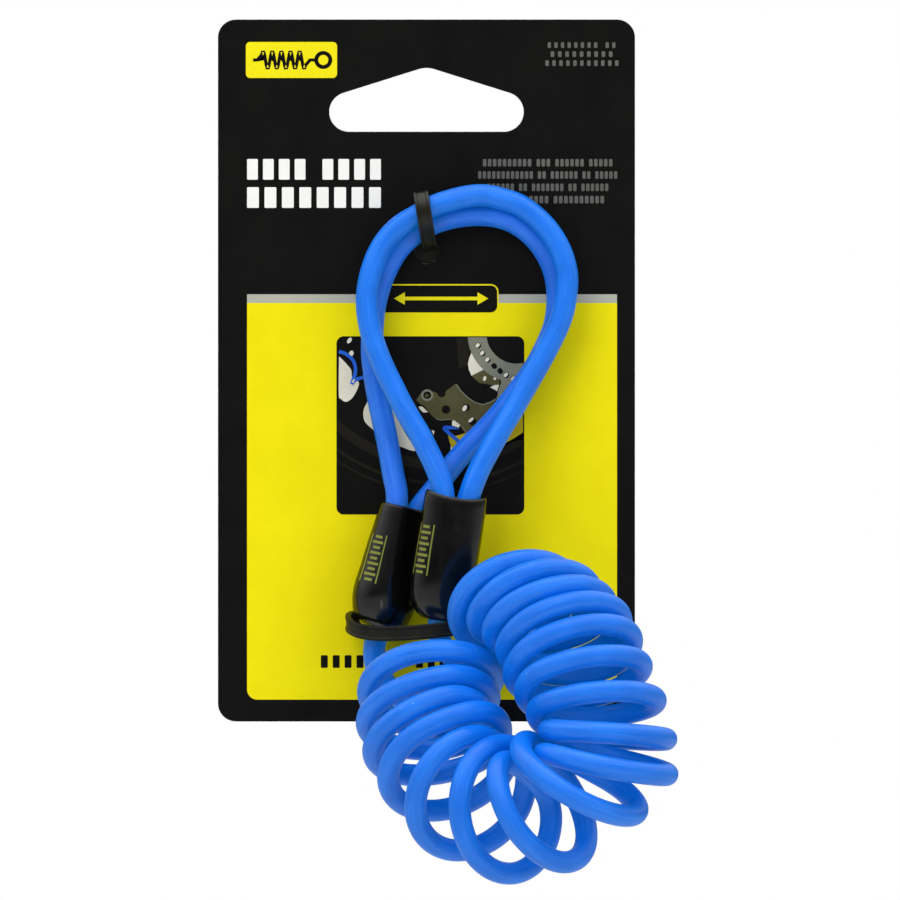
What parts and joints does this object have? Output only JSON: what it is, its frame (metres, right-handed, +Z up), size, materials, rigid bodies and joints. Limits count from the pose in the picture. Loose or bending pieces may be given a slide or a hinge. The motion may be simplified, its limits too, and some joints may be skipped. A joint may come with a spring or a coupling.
{
  "type": "disc lock reminder cable",
  "caption": "Coiled plastic-coated steel cable with an eye in a moulded sleeve at each end, strapped by cable ties to a flat hang card with a triangular slot.",
  "frame": {"origin": "centre of the hang card's flat back face", "axes": "+Z up along the card's height, -Y the way its printed front looks, +X to the right seen from the front"},
  "size_m": [0.0765, 0.0507, 0.1436],
  "materials": {
    "card": "printed board, black and yellow, satin varnish",
    "nylon": "black nylon, semi-gloss",
    "sleeve": "black moulded plastic, glossy",
    "ferrule": "crimped aluminium, satin",
    "jacket": "azure blue soft plastic, semi-gloss",
    "rope": "stranded steel rope"
  },
  "bodies": {
    "card": {"backing_card": "card", "tie_top": "nylon", "tie_bottom": "nylon", "sleeve_a": "sleeve", "sleeve_b": "sleeve", "ferrule_a": "ferrule", "ferrule_b": "ferrule", "eye_a_jacket": "jacket", "eye_b_jacket": "jacket", "eye_a_core": "rope", "eye_b_core": "rope"},
    "coil": {"coil_jacket": "jacket", "coil_core": "rope"}
  },
  "joints": [
    {"name": "coil_pull", "type": "slide", "parent": "card", "child": "coil", "axis": [0, 0, -1], "range_m": [0, 0.4], "stiffness_N_per_m": 25, "springref_m": -0.012, "deforming": ["coil_jacket", "coil_core"]}
  ]
}
